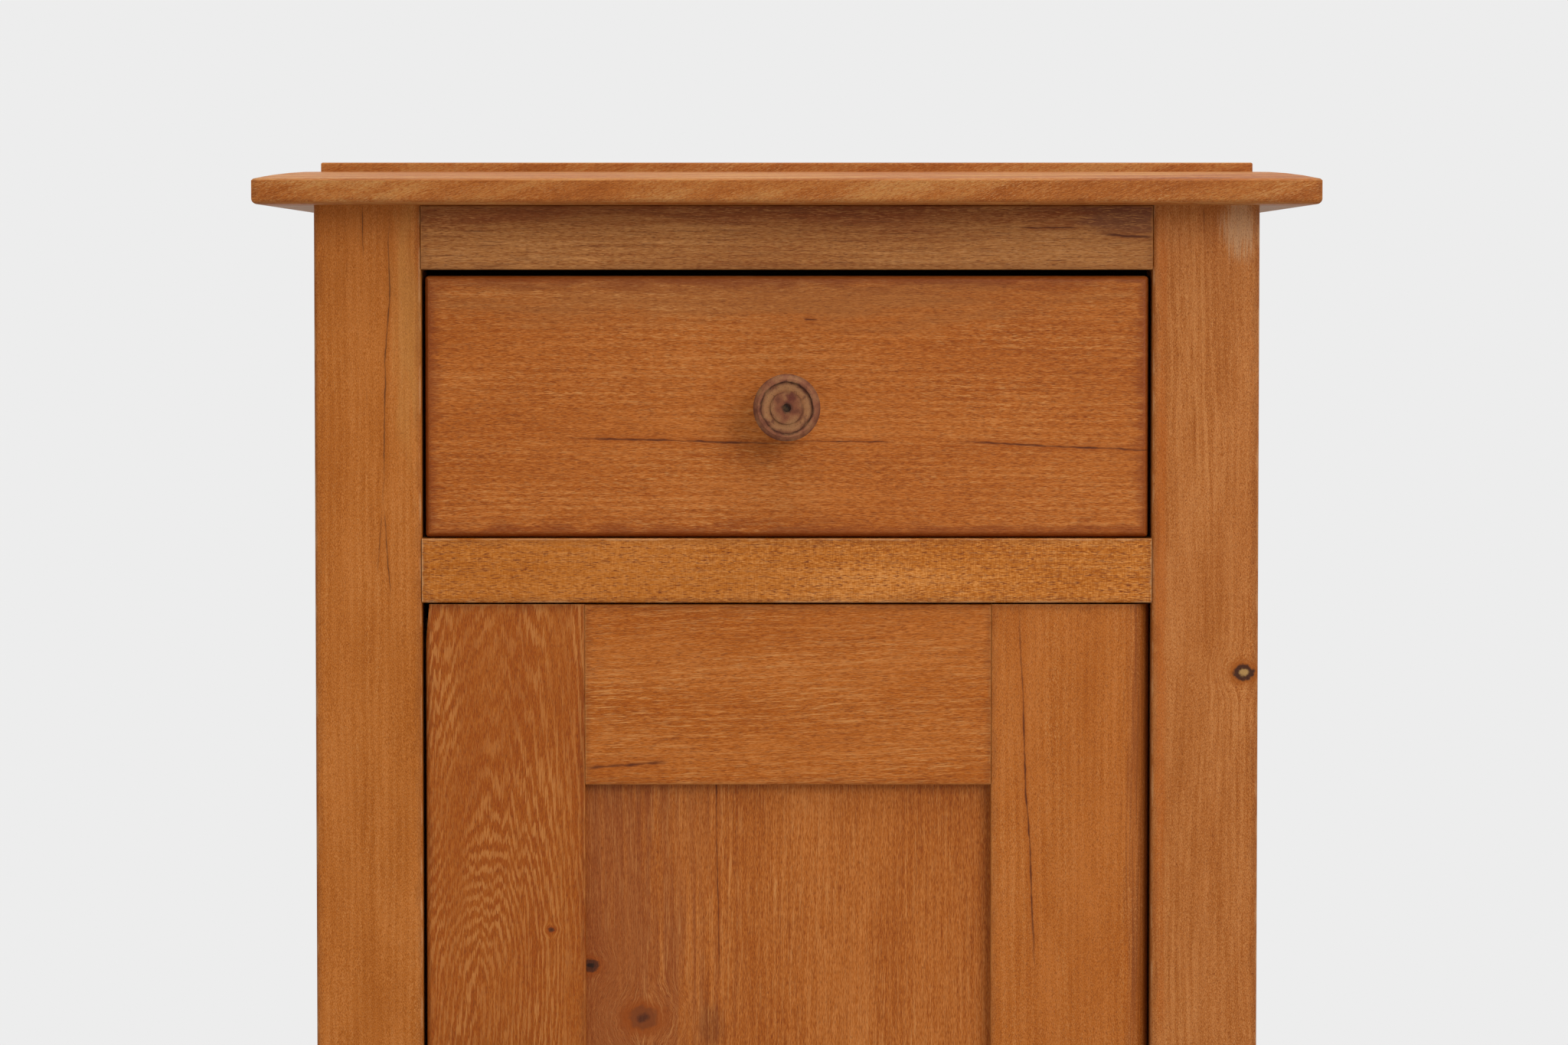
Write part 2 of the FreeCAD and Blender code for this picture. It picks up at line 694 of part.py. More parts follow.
def make_door():
    """A framed door on two pivot pins; its hinge edge is rounded about the pins."""
    left = -half_opening + size.door_latch_gap
    right = half_opening - size.door_hinge_gap
    front = face + size.door_recess
    back = front + size.door_thickness
    low = door_sill + size.door_bottom_gap
    high = door_head - size.door_top_gap
    stile = size.door_stile_width
    field_xs = (left + stile, right - stile)
    field_zs = (low + size.door_bottom_rail_height, high - size.door_top_rail_height)
    panel_ys = (front + size.door_panel_recess, front + size.door_panel_recess + size.panel_thickness)
    groove = size.panel_groove
    edge = groove - size.panel_slack
    arris = size.rail_arris
    ys = (front, back)

    hinge_round = size.pivot_inset
    stiles = (
        ("left", (left, field_xs[0]), (size.door_edge_round, arris, 0, arris)),
        ("right", (field_xs[1], right), (arris, hinge_round, arris, 0)),
    )
    for side, xs, radii in stiles:
        label = f"door_stile_{side}"
        solids[label].append(bar(f"{label}_blank", "Z", eased(xs, ys, *radii), low, high))
    relieve_corner(left, high, front, back)
    tenon_xs = (field_xs[0] - size.door_tenon_length, field_xs[1] + size.door_tenon_length)
    mortise_xs = (tenon_xs[0] - size.mortise_slack, tenon_xs[1] + size.mortise_slack)
    groove_xs = (field_xs[0] - groove, field_xs[1] + groove)
    groove_zs = (field_zs[0] - groove, field_zs[1] + groove)
    through = (field_xs[0] - size.cut_overrun, field_xs[1] + size.cut_overrun)
    for level, zs in (("bottom", (low, field_zs[0])), ("top", (field_zs[1], high))):
        label = f"door_rail_{level}"
        tenon_zs = (zs[0] + size.door_tenon_haunch, zs[1] - size.door_tenon_haunch)
        solids[label].append(bar(f"{label}_blank", "X", eased(ys, zs, arris, 0, 0, arris), *field_xs))
        solids[label].append(box(f"{label}_tenons", tenon_xs, panel_ys, tenon_zs))
        hollows[label].append(box(f"{label}_groove", through, panel_ys, groove_zs))
        for side, _ in SIDES:
            mortise = box(f"{label}_mortise_{side}", mortise_xs, panel_ys, tenon_zs)
            hollows[f"door_stile_{side}"].append(mortise)
    for side, _ in SIDES:
        hollows[f"door_stile_{side}"].append(box(f"door_stile_groove_{side}", groove_xs, panel_ys, groove_zs))
    panel_xs = (field_xs[0] - edge, field_xs[1] + edge)
    panel_zs = (field_zs[0] - edge, field_zs[1] + edge)
    solids["door_panel"].append(box("door_panel_board", panel_xs, panel_ys, panel_zs))

    make_pivots(right - size.pivot_inset, front + size.pivot_inset, low, high)
    make_door_stops(back)
    make_latch(left + stile / 2, middle(low, high), front, back)


def relieve_corner(left, high, front, back):
    """The latch edge is planed back a little at its upper corner, where the door used to bind."""
    over = size.cut_overrun
    start = high - size.door_corner_relief_length
    wedge = [
        (left - over, start),
        (left, start),
        (left + size.door_corner_relief, high),
        (left + size.door_corner_relief, high + over),
        (left - over, high + over),
    ]
    hollows["door_stile_left"].append(bar("door_corner_wedge", "Y", wedge, front - over, back + over))


def make_pivots(x, y, low, high):
    """Steel pins in the rails above and below the door, which turns on them and stands on a washer."""
    depth = size.pivot_depth
    ends = (
        ("top", "middle", high - depth, door_head + depth),
        ("bottom", "bottom", door_sill - depth, low + depth),
    )
    for level, rail, start, end in ends:
        label = f"door_pivot_pin_{level}"
        solids[label].append(rod(f"{label}_rod", "Z", (x, y), start, end, size.pivot_radius))
        fixed = size.pivot_radius + size.fixed_fit
        running = size.pivot_radius + size.running_fit
        hollows[f"front_rail_{rail}"].append(rod(f"{label}_seat", "Z", (x, y), start, end, fixed))
        slack = size.mortise_slack
        bore = rod(f"{label}_bore", "Z", (x, y), start - slack, end + slack, running)
        hollows["door_stile_right"].append(bore)
    disc = rod("door_pivot_disc", "Z", (x, y), door_sill, low, size.washer_radius)
    solids["door_pivot_washer"].append(disc)
    over = size.cut_overrun
    hole = rod("door_pivot_washer_hole", "Z", (x, y), door_sill - over, low + over, running)
    hollows["door_pivot_washer"].append(hole)


def make_door_stops(door_back):
    xs = (-half_opening, -half_opening + size.door_stop_width)
    near = door_back + size.door_stop_gap
    ys = (near, near + size.door_stop_thickness)
    low = door_sill + size.door_stop_margin
    high = door_head - size.door_stop_margin
    strips = (("low", low, low + size.door_stop_length), ("high", high - size.door_stop_length, high))
    for level, start, end in strips:
        solids["door_stops"].append(box(f"door_stop_{level}", xs, ys, (start, end)))


def make_latch(x, z, door_front, door_back):
    """The knob's spindle carries an arm that hangs free and turns up into a slot of the left post."""
    clear = size.latch_clearance
    arm_ys = (door_back + clear, door_back + clear + size.latch_arm_thickness)
    make_knob("door_knob", x, z, door_front - clear, arm_ys[1])
    shank = size.knob_shank_radius
    over = size.cut_overrun
    bore = rod("door_knob_bore", "Y", (x, z), door_front - over, door_back + over, shank + size.running_fit)
    hollows["door_stile_left"].append(bore)

    half = size.latch_arm_width / 2
    foot = z - size.latch_arm_reach
    cut = size.latch_arm_chamfer
    arm = [
        (x - half, foot + cut),
        (x - half + cut, foot),
        (x + half - cut, foot),
        (x + half, foot + cut),
        (x + half, z, Arc(half)),
        (x, z + half, Arc(half)),
        (x - half, z),
    ]
    solids["latch_arm"].append(bar("latch_arm_blank", "Y", arm, *arm_ys))
    eye = rod("latch_arm_eye", "Y", (x, z), arm_ys[0] - over, arm_ys[1] + over, shank + size.fixed_fit)
    hollows["latch_arm"].append(eye)
    pin_centre = (middle(*arm_ys), z)
    solids["latch_pin"].append(
        rod("latch_pin_rod", "X", pin_centre, x - half, x + half, size.latch_pin_radius))
    hole_radius = size.latch_pin_radius + size.fixed_fit
    pin_hole = rod("latch_pin_hole", "X", pin_centre, x - half, x + half, hole_radius)
    hollows["latch_arm"].append(pin_hole)
    hollows["door_knob"].append(pin_hole)

    room = size.latch_slot_clearance
    slot_xs = (x - size.latch_arm_reach - room, -half_opening + over)
    slot_ys = (arm_ys[0] - clear, arm_ys[1] + room)
    slot_zs = (foot - room, z + half + room)
    hollows["front_post_left"].append(box("latch_slot", slot_xs, slot_ys, slot_zs))


def assemble():
    """One object a piece, under its own label: its solids joined, less its hollows."""
    pieces = {}
    for label, members in solids.items():
        whole = members[0] if len(members) == 1 else boolean("Part::MultiFuse", f"{label}_whole", members)
        cutters = hollows[label]
        if cutters:
            tool = cutters[0] if len(cutters) == 1 else boolean("Part::MultiFuse", f"{label}_hollows", cutters)
            piece = document.addObject("Part::Cut", label)
            piece.Base = whole
            piece.Tool = tool
            piece.Refine = True
        else:
            piece = whole
        piece.Label = label
        pieces[label] = piece
    document.recompute()
    return pieces


def export(pieces):
    for item in document.Objects:
        if {"Invalid", "Error"} & set(item.State):
            raise RuntimeError(f"{item.Label} failed: {item.State}")
    for label, piece in pieces.items():
        if piece.Shape.isNull() or not piece.Shape.isValid():
            raise RuntimeError(f"{label} has no valid shape")
    os.makedirs("parts", exist_ok=True)
    for label, piece in pieces.items():
        piece.Shape.exportStep(f"parts/{label}.step")


make_top_board()
make_front_rails()
make_rear_rails()
side_rail_inner = make_side_frames()
make_posts()
make_back()
make_floor(side_rail_inner)
make_drawer_ways()
make_drawer()
make_door()
export(assemble())
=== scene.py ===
"""An old bedside cabinet in waxed elm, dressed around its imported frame.

Metres, in the frame of the part. The figure of a board is drawn in millimetres from the middle of that board:
across its face, into its thickness and along its grain.
"""

import math

import bpy
from mathutils import Matrix, Vector


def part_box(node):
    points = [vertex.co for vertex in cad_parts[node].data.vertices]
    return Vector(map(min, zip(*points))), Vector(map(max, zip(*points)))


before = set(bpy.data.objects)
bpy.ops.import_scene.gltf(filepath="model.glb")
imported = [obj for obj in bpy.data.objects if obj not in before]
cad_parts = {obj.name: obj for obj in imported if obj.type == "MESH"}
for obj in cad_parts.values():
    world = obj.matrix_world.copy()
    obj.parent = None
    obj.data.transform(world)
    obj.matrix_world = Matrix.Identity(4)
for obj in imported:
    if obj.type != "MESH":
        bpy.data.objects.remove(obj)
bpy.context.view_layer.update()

MM = 0.001
AXES = {"X": Vector((1, 0, 0)), "Y": Vector((0, 1, 0)), "Z": Vector((0, 0, 1))}


def colour(text):
    """A colour written as sRGB hex, as linear red, green, blue and alpha."""
    parts = [int(text[i:i + 2], 16) / 255 for i in (1, 3, 5)]
    return [c / 12.92 if c <= 0.04045 else ((c + 0.055) / 1.055) ** 2.4 for c in parts] + [1]


def add(tree, kind, sockets=None, out=0, stops=(), **settings):
    """Adds one shader node, sets it, fills or links its sockets, and gives one of its outputs, if any."""
    node = tree.nodes.new("ShaderNode" + kind)
    for name, value in settings.items():
        setattr(node, name, value)
    for key, value in (sockets or {}).items():
        if isinstance(value, bpy.types.NodeSocket):
            tree.links.new(value, node.inputs[key])
        else:
            node.inputs[key].default_value = value
    for index, (place, tone) in enumerate(stops):
        ramp = node.color_ramp.elements
        stop = ramp[index] if index < 2 else ramp.new(place)
        stop.position = place
        stop.color = colour(tone)
    return node.outputs[out] if node.outputs else None


def new_material(name):
    """An empty material, and the tree of its nodes."""
    material = bpy.data.materials.new(name)
    material.use_nodes = True
    material.node_tree.nodes.clear()
    return material, material.node_tree


def tinted(tree, under, mask, tint):
    """A colour with a tint laid over it where the mask says."""
    return add(tree, "Mix", {0: mask, 6: under, 7: colour(tint)}, 2, data_type="RGBA")


# Boards
#
# A look holds three tones from deep to pale, the tints of the marks, and the marks themselves. A mark in a
# tuple is its strength, its width across the grain and its length along it, in millimetres. Real fibres are
# too fine to show in the render, so silk is drawn about a quarter of a millimetre wide.

# Waxed elm, planed by hand and rubbed for decades. The eye gets a warm orange brown with a satin sheen,
# fine broken lines along the grain, pale flecks where wax has filled the pores, and jagged feathers
# where a ring runs out through the face.
ELM = dict(
    finish="waxed_elm",
    tones=("#8a4008", "#a1581b", "#b66d33"),
    fleck="#c4864a",
    pore="#6a300a",
    crack="#4a1d08",
    worn_and_lit="#b9793c",
    dirt_and_shade="#5a2a0c",
    ring=3.2,                   # spacing of the rings
    figure=0.12,                # how strongly the rings show
    pith=(90.0, 60.0),          # heart of the tree, across and into the board
    tilt=(0.0, 0.0),            # lean of the trunk in the board, in radians
    sink=(),                    # stretch of the board where the rings dive, and how far they dive
    zigzag=(3.2, 6.0, 60.0),    # reach, width and length of the waves in a ring
    feather=2.5,                # reach of a ring's frayed edge
    wander=6.0,                 # sideways drift of the grain
    slant=0.0,                  # turn of the grain in the face, in radians
    silk=(0.95, 0.24, 2.2),
    lines=(0.2, 0.9, 30.0),
    patches=(0.35, 20.0, 130.0),
    pores=(0.55, 0.24, 2.2),
    hairs=(0.35, 0.26, 14.0),
    flecks=(0.6, 0.24, 3.6),
    gather=0.05,                # how far flecks keep to the pale part of a ring
    rows=0.0,                   # how far pores keep to it
    rays=0.0,                   # strength of the ticks across the grain
    calm=0.35,                  # what is left of the figure in the calmest areas
    roughness=0.5,
    gloss=0.2,
    bleach_and_highlight=0.0,                 # fading and painted highlight of faces turned to the sky
    lean=0.0,                   # climb of the grain on a front edge
    wear_and_highlight=0.4,                   # how pale the rubbed arrises are, on the front posts partly a painted highlight
    grime_and_shade=(4.0, 0.3),           # width and strength of the dirt along the margins, on the drawer front mostly painted shade
)

# Unfinished softwood, sawn and left bare inside and at the back. The eye gets a dull straw brown, darkened
# by age, with wide soft rings and no shine.
SOFTWOOD = dict(
    ELM,
    finish="bare_softwood",
    tones=("#7c5030", "#956942", "#a98058"),
    fleck="#b89a70",
    pore="#4a3018",
    worn_and_lit="#a98a5f",
    dirt_and_shade="#4a3420",
    ring=7.0,
    figure=0.2,
    pith=(35.0, 40.0),
    tilt=(0.05, 0.04),
    zigzag=(4.0, 9.0, 120.0),
    feather=1.5,
    wander=16.0,
    silk=(0.3, 0.5, 12.0),
    lines=(0.3, 1.2, 60.0),
    patches=(0.4, 30.0, 160.0),
    pores=(0.12, 0.5, 4.0),
    hairs=(0.2, 0.6, 40.0),
    flecks=(0.05, 0.5, 10.0),
    calm=0.7,
    roughness=0.8,
    gloss=0.15,
    wear_and_highlight=0.2,
    grime_and_shade=(6.0, 0.35),
)

# What all boards share, in millimetres. A pair is across the grain and along it, unless its comment says more.
DRIFT = 55.0, 240.0             # slow wander of the grain
LIVELY = 17.0, 90.0             # areas with a strong figure, between calm ones
LIVELIEST = 1.3                 # how strong the figure is there at most
FRAY = 0.7, 14.0                # frayed edge of a ring
RAY = 4.0, 0.6                  # tick across the grain
RUBBED = 3.0, 14.0              # places rubbed by hands and cloths
RUBBED_AND_LIT_EDGE = 0.2, 1.6          # least and greatest width of a rubbed arris and of its painted highlight
STAIN_EDGE = 5.0, 40.0          # ragged edge of most stains
CRACK_BEND = 40.0               # length of a crack's slow bends
CRACK_JAG = 0.4                 # how far a crack jumps aside
CRACK_JAG_LENGTH = 4.5          # and how often
CRACK_BEAT = 9.0                # length over which a crack opens and closes
KNOT_REACH = 5.0                # how far the grain bends round a knot, in radii of the knot
KNOT_SPAN = 3.0                 # what a knot's ramp of colours spans, in the same radii
WAXED_UNDER = 25.0, 60.0        # depths behind a front edge where the wax below begins to thin and ends
UNWAXED = "#b28f6c"
MARKED = 0.57                   # noise lies about a half, and its peaks above this become marks
WAX_IOR = 1.45


def streaks(tree, point, across, along, seed, detail=2.0, out=0):
    """Noise in streaks along the grain, about as wide and as long as the two sizes in millimetres."""
    stretched = add(tree, "VectorMath", {0: point, 1: (1 / across, 1 / across, 1 / along),
                                         2: (seed, seed * 0.37, seed * 1.71)}, operation="MULTIPLY_ADD")
    return add(tree, "TexNoise", {"Vector": stretched, "Scale": 1.0, "Detail": detail}, out)


def swinging_streaks(tree, *streak):
    """Streaks that run from minus a half to a half."""
    return add(tree, "MapRange", {0: streaks(tree, *streak), 1: 0.3, 2: 0.7, 3: -0.5, 4: 0.5})


def board_frame(node, grain, face):
    """The turn from the part's axes to across, into and along a board, its middle and half sizes in metres."""
    along, depth = AXES[grain], AXES[face]
    turn = Matrix((depth.cross(along), depth, along))
    low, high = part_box(node)
    half = turn @ ((high - low) / 2)
    return turn, (low + high) / 2, Vector(map(abs, half))


def hairline(tree, point, start, end, width, wobble, seed):
    """Masks of a crack along the grain and of the painted shade on its soft edges, between two places across
    and along the board.
    """
    (x0, z0), (x1, z1) = sorted((start, end), key=lambda place: place[1])
    slope = (x1 - x0) / (z1 - z0)
    fade = (z1 - z0) * 0.25
    x, _, z = add(tree, "SeparateXYZ", {0: point}).node.outputs
    way = add(tree, "CombineXYZ", {2: z})
    # Each bend is a noise about a half, so the line starts half a swing of both to one side
    aside = x0 - slope * z0 - wobble - CRACK_JAG
    line = add(tree, "Math", {0: z, 1: slope, 2: aside}, operation="MULTIPLY_ADD")
    for reach, length in ((wobble, CRACK_BEND), (CRACK_JAG, CRACK_JAG_LENGTH)):
        bend = streaks(tree, way, 1.0, length, seed)
        line = add(tree, "Math", {0: bend, 1: 2 * reach, 2: line}, operation="MULTIPLY_ADD")
    gap = add(tree, "Math", {0: x, 1: line}, operation="SUBTRACT")
    gap = add(tree, "Math", {0: gap}, operation="ABSOLUTE")
    # It opens and closes along its length, and thins out at both ends
    beat = streaks(tree, way, 1.0, CRACK_BEAT, seed + 5)
    reach = add(tree, "MapRange", {0: beat, 1: 0.3, 2: 0.65, 3: width * 0.5, 4: width})
    rise = add(tree, "MapRange", {0: z, 1: z0, 2: z0 + fade}, interpolation_type="SMOOTHSTEP")
    fall = add(tree, "MapRange", {0: z, 1: z1 - fade, 2: z1, 3: 1.0, 4: 0.0}, interpolation_type="SMOOTHSTEP")
    ends = add(tree, "Math", {0: rise, 1: fall}, operation="MULTIPLY")
    faint = add(tree, "MapRange", {0: beat, 1: 0.25, 2: 0.6, 3: 0.45, 4: 0.95})
    ends = add(tree, "Math", {0: ends, 1: faint}, operation="MULTIPLY")
    mask = add(tree, "MapRange", {0: gap, 1: 0.0, 2: reach, 3: 1.0, 4: 0.0}, interpolation_type="SMOOTHSTEP")
    # Painted shade on the crack's soft edges, wider and fainter than the crack
    soft = add(tree, "MapRange", {0: gap, 1: 0.0, 2: width * 4, 3: 0.5, 4: 0.0},
               interpolation_type="SMOOTHSTEP")
    return [add(tree, "Math", {0: part, 1: ends}, operation="MULTIPLY") for part in (mask, soft)]


def knot_push(tree, point, place, radius):
    """The point pushed so that the grain flows round a knot, and its distance from the knot in knot radii."""
    flatness = 0.8              # a knot is a quarter wider across the grain than along it
    fray = 0.8
    away = add(tree, "VectorMath", {0: point, 1: (place[0], 0, place[1])}, operation="SUBTRACT")
    radii = (flatness / radius, 0, 1 / radius)
    flat = add(tree, "VectorMath", {0: away, 1: radii}, operation="MULTIPLY")
    distance = add(tree, "VectorMath", {0: flat}, 1, operation="LENGTH")
    ragged = streaks(tree, point, radius * 0.6, radius * 0.6, radius, 3.0)
    distance = add(tree, "Math", {0: ragged, 1: fray, 2: distance}, operation="MULTIPLY_ADD")
    distance = add(tree, "Math", {0: distance, 1: fray / 2}, operation="SUBTRACT")
    pull = add(tree, "MapRange", {0: distance, 1: 0.0, 2: KNOT_REACH, 3: -0.8, 4: 0.0},
               interpolation_type="SMOOTHERSTEP")
    shift = add(tree, "VectorMath", {0: away, "Scale": pull}, operation="SCALE")
    shift = add(tree, "VectorMath", {0: shift, 1: (1, 0, 0.2), 2: point}, operation="MULTIPLY_ADD")
    return shift, distance


def knot_heart(tree, wood, distance, core, rim, halo):
    """The wood with a knot in it: a heart, a dark bark ring and a stained halo."""
    share = add(tree, "Math", {0: distance, 1: 1 / KNOT_SPAN}, operation="MULTIPLY")
    heart = add(tree, "ValToRGB", {0: share},
                stops=[(0.0, core), (0.09, core), (0.2, rim), (0.32, rim), (0.42, halo)])
    mask = add(tree, "MapRange", {0: distance, 1: 0.9, 2: 2.4, 3: 0.95, 4: 0.0},
               interpolation_type="SMOOTHSTEP")
    return add(tree, "Mix", {0: mask, 6: wood, 7: heart}, 2, data_type="RGBA")


def tone_patch_mask(tree, point, place, reach, ragged, strength, seed):
    """Mask of a patch of another tone, with its half widths across and along and its ragged edge's sizes."""
    away = add(tree, "VectorMath", {0: point, 1: (place[0], 0, place[1])}, operation="SUBTRACT")
    away = add(tree, "VectorMath", {0: away, 1: (1 / reach[0], 0, 1 / reach[1])}, operation="MULTIPLY")
    distance = add(tree, "VectorMath", {0: away}, 1, operation="LENGTH")
    # The ragged edge adds 0.8 on the whole, so the patch fades about 0.3 to 1.1 half widths out
    edge = streaks(tree, point, *ragged, seed, 4.0)
    distance = add(tree, "Math", {0: edge, 1: 1.6, 2: distance}, operation="MULTIPLY_ADD")
    return add(tree, "MapRange", {0: distance, 1: 1.1, 2: 1.9, 3: strength, 4: 0.0},
               interpolation_type="SMOOTHSTEP")


def grain_flow(tree, point, facing_y, look, seed):
    """The point bent with the grain, the same point as the grain wanders, and how strongly the rings show."""
    bent = add(tree, "Mapping", {"Vector": point, "Rotation": (0, look["slant"], 0)})
    strength = look["figure"]
    if look["lean"]:
        # On a front edge the grain runs out, so its marks are short and climb across, and its rings are faint
        front = add(tree, "MapRange", {0: facing_y, 1: -0.8, 2: -0.7, 3: 1.0, 4: 0.0})
        along = add(tree, "SeparateXYZ", {0: bent}, 2)
        along = add(tree, "Math", {0: along, 1: front}, operation="MULTIPLY")
        strength = add(tree, "MapRange", {0: front, 3: strength, 4: strength * 0.35})
        climb = add(tree, "VectorMath", {0: (0, look["lean"], 1.3), "Scale": along}, operation="SCALE")
        bent = add(tree, "VectorMath", {0: bent, 1: climb}, operation="ADD")
    drift = streaks(tree, bent, *DRIFT, seed, 2.0, 1)
    drift = add(tree, "VectorMath", {0: drift, 1: (0.5, 0.5, 0.5)}, operation="SUBTRACT")
    wander = (look["wander"], look["wander"], 0)
    drift = add(tree, "VectorMath", {0: drift, 1: wander, 2: bent}, operation="MULTIPLY_ADD")
    return bent, drift, strength


def ring_band(tree, bent, drift, look, seed):
    """Rings as shells about the pith, with zigzag and frayed edges, from minus a half to a half."""
    shells = add(tree, "Mapping", {"Vector": drift, "Rotation": (*look["tilt"], 0),
                                   "Location": (*look["pith"], 0)})
    if look["sink"]:
        low, high, dive = look["sink"]
        along = add(tree, "SeparateXYZ", {0: drift}, 2)
        depth = add(tree, "MapRange", {0: along, 1: low, 2: high, 3: 0.0, 4: dive},
                    interpolation_type="SMOOTHSTEP")
        depth = add(tree, "CombineXYZ", {1: depth})
        shells = add(tree, "VectorMath", {0: shells, 1: depth}, operation="ADD")
    flat = add(tree, "VectorMath", {0: shells, 1: (1, 1, 0)}, operation="MULTIPLY")
    shell = add(tree, "VectorMath", {0: flat}, 1, operation="LENGTH")
    reach, *size = look["zigzag"]
    waves = streaks(tree, bent, *size, seed + 1)
    shell = add(tree, "Math", {0: waves, 1: reach, 2: shell}, operation="MULTIPLY_ADD")
    fray = streaks(tree, bent, *FRAY, seed + 2)
    shell = add(tree, "Math", {0: fray, 1: look["feather"], 2: shell}, operation="MULTIPLY_ADD")
    turns = add(tree, "Math", {0: shell, 1: 2 / look["ring"]}, operation="MULTIPLY")
    band = add(tree, "Math", {0: turns, 1: 1.0}, operation="PINGPONG")
    return add(tree, "MapRange", {0: band, 1: 0.2, 2: 0.8, 3: -0.5, 4: 0.5}, interpolation_type="SMOOTHSTEP")


def bare_wood(tree, bent, drift, band, strength, vary, look, seed):
    """Colour of the wood before its marks, and the silky fibres and broad patches in it."""
    fibre = swinging_streaks(tree, drift, *look["silk"][1:], seed + 5, 3.5)
    line = swinging_streaks(tree, drift, *look["lines"][1:], seed + 3, 3.0)
    patch = swinging_streaks(tree, drift, *look["patches"][1:], seed + 4, 3.0)
    figure = add(tree, "Math", {0: band, 1: strength}, operation="MULTIPLY")
    figure = add(tree, "Math", {0: line, 1: look["lines"][0], 2: figure}, operation="MULTIPLY_ADD")
    tone = add(tree, "Math", {0: figure, 1: vary, 2: 0.5}, operation="MULTIPLY_ADD")
    tone = add(tree, "Math", {0: fibre, 1: look["silk"][0], 2: tone}, operation="MULTIPLY_ADD")
    tone = add(tree, "Math", {0: patch, 1: look["patches"][0], 2: tone}, operation="MULTIPLY_ADD")
    if look["rays"]:
        tick = swinging_streaks(tree, bent, *RAY, seed + 10)
        tone = add(tree, "Math", {0: tick, 1: look["rays"], 2: tone}, operation="MULTIPLY_ADD")
    wood = add(tree, "ValToRGB", {0: tone}, stops=list(zip((0.1, 0.5, 0.9), look["tones"])))
    return wood, fibre, patch


def marked_wood(tree, wood, bent, drift, band, vary, look, seed):
    """The wood with pores as short dark dashes, hairs as longer ones and flecks of wax, and the pores' mask."""
    pore = streaks(tree, bent, *look["pores"][1:], seed + 6, 1.0)
    pore = add(tree, "Math", {0: band, 1: look["rows"], 2: pore}, operation="MULTIPLY_ADD")
    pore = add(tree, "MapRange", {0: pore, 1: MARKED, 2: 0.66, 3: 0.0, 4: look["pores"][0]})
    wood = tinted(tree, wood, pore, look["pore"])
    hair = streaks(tree, drift, *look["hairs"][1:], seed + 11)
    hair = add(tree, "MapRange", {0: hair, 1: MARKED, 2: 0.7, 3: 0.0, 4: look["hairs"][0]})
    wood = tinted(tree, wood, hair, look["pore"])
    fleck = streaks(tree, drift, *look["flecks"][1:], seed + 7)
    fleck = add(tree, "Math", {0: band, 1: look["gather"], 2: fleck}, operation="MULTIPLY_ADD")
    fleck = add(tree, "MapRange", {0: fleck, 1: MARKED, 2: 0.64, 3: 0.0, 4: look["flecks"][0]})
    fleck = add(tree, "Math", {0: fleck, 1: vary}, operation="MULTIPLY")
    return tinted(tree, wood, fleck, look["fleck"]), pore


def margin(tree, point, half, shown):
    """Distance from the nearest arris of a board, whose visible length has its middle at shown."""
    gaps = add(tree, "VectorMath", {0: point, 1: (0, 0, shown)}, operation="SUBTRACT")
    gaps = add(tree, "VectorMath", {0: gaps}, operation="ABSOLUTE")
    gaps = add(tree, "VectorMath", {0: tuple(half / MM), 1: gaps}, operation="SUBTRACT")
    # A face has one gap of nothing, so the arris is as far as the second smallest gap
    a, b, c = add(tree, "SeparateXYZ", {0: gaps}).node.outputs
    less = add(tree, "Math", {0: a, 1: b}, operation="MINIMUM")
    more = add(tree, "Math", {0: a, 1: b}, operation="MAXIMUM")
    edge = add(tree, "Math", {0: more, 1: c}, operation="MINIMUM")
    return add(tree, "Math", {0: less, 1: edge}, operation="MAXIMUM")


def edge_wear_dirt_and_painted_light(tree, wood, edge, bent, look, seed):
    """The wood darkened along its margins by dirt and painted shade, its arrises paled by wear and painted
    highlight.
    """
    rub = streaks(tree, bent, *RUBBED, seed + 8, 3.0)
    # Dark tint along the margins: dirt, and on the drawer front mostly painted shade of its recess
    width, strength = look["grime_and_shade"]
    reach = add(tree, "MapRange", {0: rub, 1: 0.35, 2: 0.65, 3: width * 1.5, 4: width * 0.5})
    soil_and_shade = add(tree, "MapRange", {0: edge, 1: 0.0, 2: reach, 3: strength, 4: 0.0},
               interpolation_type="SMOOTHSTEP")
    wood = tinted(tree, wood, soil_and_shade, look["dirt_and_shade"])
    # Pale tint on the arrises: wear, and on the front posts partly a painted highlight where light catches them
    least, most = RUBBED_AND_LIT_EDGE
    reach = add(tree, "MapRange", {0: rub, 1: 0.4, 2: 0.65, 3: least, 4: most})
    bare = add(tree, "MapRange", {0: edge, 1: 0.0, 2: reach, 3: look["wear_and_highlight"], 4: 0.0},
               interpolation_type="SMOOTHSTEP")
    return tinted(tree, wood, bare, look["worn_and_lit"])


def weathered_and_lit(tree, wood, point, facing_z, patch, front, look):
    """The wood paler where it faces the sky, as fading and painted highlight, and unwaxed where it faces the
    floor behind its front edge.
    """
    # Faces turned to the sky are tinted pale: partly fading, partly a painted highlight of the light from above
    faded_and_lit = add(tree, "MapRange", {0: patch, 1: -0.5, 2: 0.5, 3: 0.0, 4: 2 * look["bleach_and_highlight"]})
    above = add(tree, "MapRange", {0: facing_z, 1: 0.6, 2: 0.95, 3: 0.0, 4: faded_and_lit})
    across = add(tree, "SeparateXYZ", {0: point})
    thin, gone = WAXED_UNDER
    dry = add(tree, "MapRange", {0: across, 1: front + thin, 2: front + gone, 4: 0.75})
    below = add(tree, "MapRange", {0: facing_z, 1: -0.9, 2: -0.99, 3: 0.0, 4: dry})
    return tinted(tree, tinted(tree, wood, above, look["fleck"]), below, UNWAXED)


